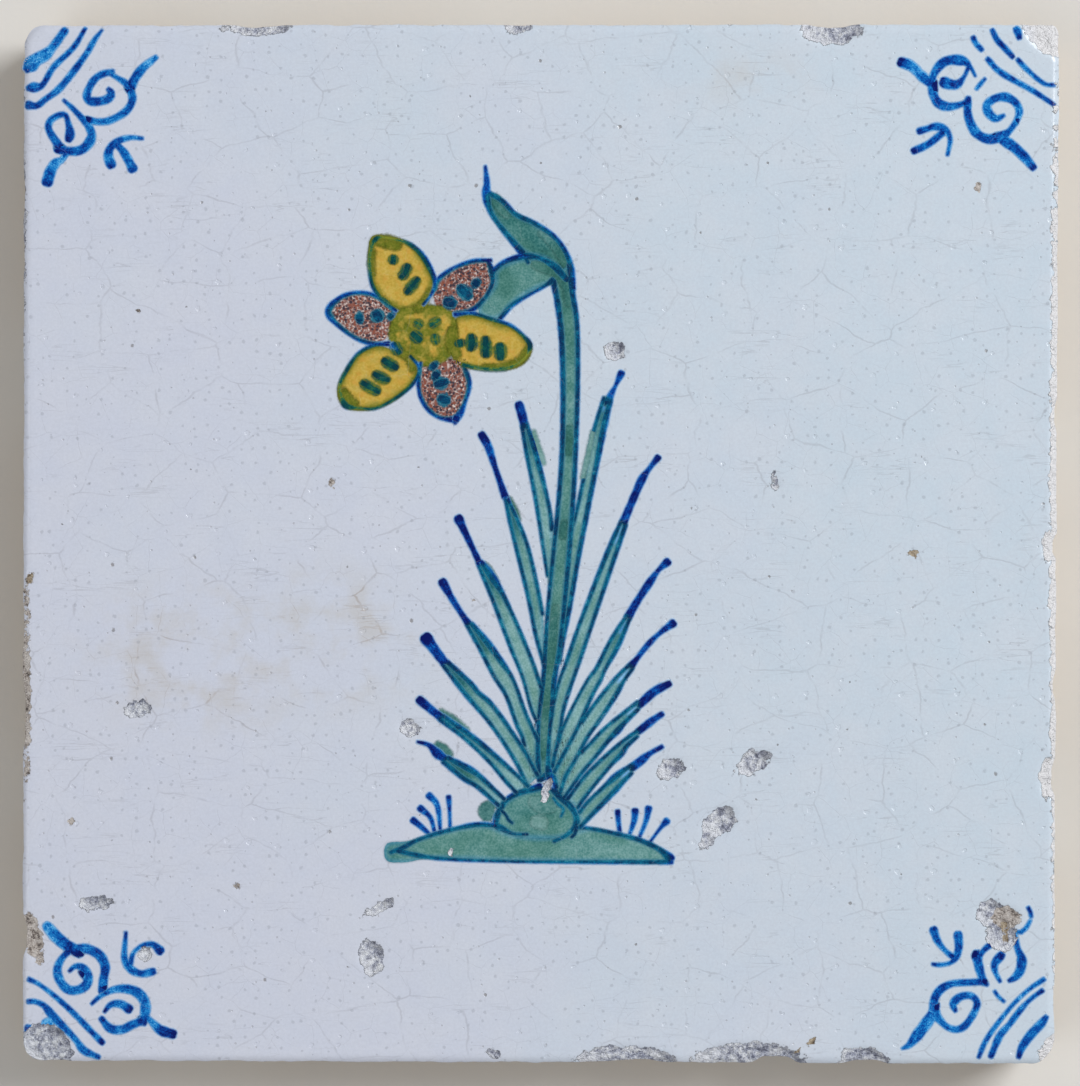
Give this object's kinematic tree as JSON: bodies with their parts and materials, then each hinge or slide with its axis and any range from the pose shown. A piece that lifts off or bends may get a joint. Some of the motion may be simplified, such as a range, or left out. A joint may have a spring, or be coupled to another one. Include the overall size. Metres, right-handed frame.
{
  "type": "glazed tile",
  "caption": "Square tin-glazed earthenware wall tile, hand-painted with a flower growing from its bulb and a scrolled motif in each corner.",
  "frame": {"origin": "middle of the back face, under the middle of the tile", "axes": "+Z out of the painted face, +Y to the picture's top, +X to the picture's right"},
  "size_m": [0.13, 0.13, 0.0128],
  "materials": {
    "fired_clay": "matte, sandy",
    "tin_glaze": "glossy, finely crazed",
    "cobalt_blue": "glossy, brushed by hand",
    "copper_green": "glossy, thin wash",
    "antimony_yellow": "glossy, thin wash",
    "stippled_brown": "glossy, stippled"
  },
  "bodies": {
    "root": {"band_inner_high_ne": "cobalt_blue", "band_inner_low_ne": "cobalt_blue", "band_inner_nw": "cobalt_blue", "band_inner_se": "cobalt_blue", "band_inner_sw": "cobalt_blue", "band_middle_high_ne": "cobalt_blue", "band_middle_low_ne": "cobalt_blue", "band_middle_nw": "cobalt_blue", "band_middle_se": "cobalt_blue", "band_outer_ne": "cobalt_blue", "band_outer_nw": "cobalt_blue", "band_outer_se": "cobalt_blue", "band_outer_sw": "cobalt_blue", "biscuit_body": "fired_clay", "bulb_wash": "copper_green", "edge_dot_sw": "cobalt_blue", "flower_middle": "antimony_yellow", "leaf_left_1_wash": "copper_green", "leaf_left_2_wash": "copper_green", "leaf_left_3_wash": "copper_green", "leaf_left_4_wash": "copper_green", "leaf_left_5_wash": "copper_green", "leaf_left_6_wash": "copper_green", "leaf_left_7_wash": "copper_green", "leaf_right_1_wash": "copper_green", "leaf_right_2_wash": "copper_green", "leaf_right_3_wash": "copper_green", "leaf_right_4_wash": "copper_green", "leaf_right_5_wash": "copper_green", "leaf_right_6_wash": "copper_green", "leaf_right_7_wash": "copper_green", "mound_wash": "copper_green", "petal_stippled_left": "stippled_brown", "petal_stippled_low": "stippled_brown", "petal_stippled_right": "stippled_brown", "petal_yellow_left": "antimony_yellow", "petal_yellow_right": "antimony_yellow", "petal_yellow_top": "antimony_yellow", "plant_brushwork": "cobalt_blue", "scroll_heart_se": "cobalt_blue", "scroll_heart_sw": "cobalt_blue", "scroll_side_se": "cobalt_blue", "scrolls_ne": "cobalt_blue", "scrolls_nw": "cobalt_blue", "scrolls_se": "cobalt_blue", "scrolls_sw": "cobalt_blue", "sheath_lower_wash": "copper_green", "sheath_upper_wash": "copper_green", "sprig_ne": "cobalt_blue", "sprig_nw": "cobalt_blue", "sprig_se": "cobalt_blue", "sprig_sw": "cobalt_blue", "stem_wash": "copper_green", "tin_glaze": "tin_glaze"}
  },
  "joints": []
}
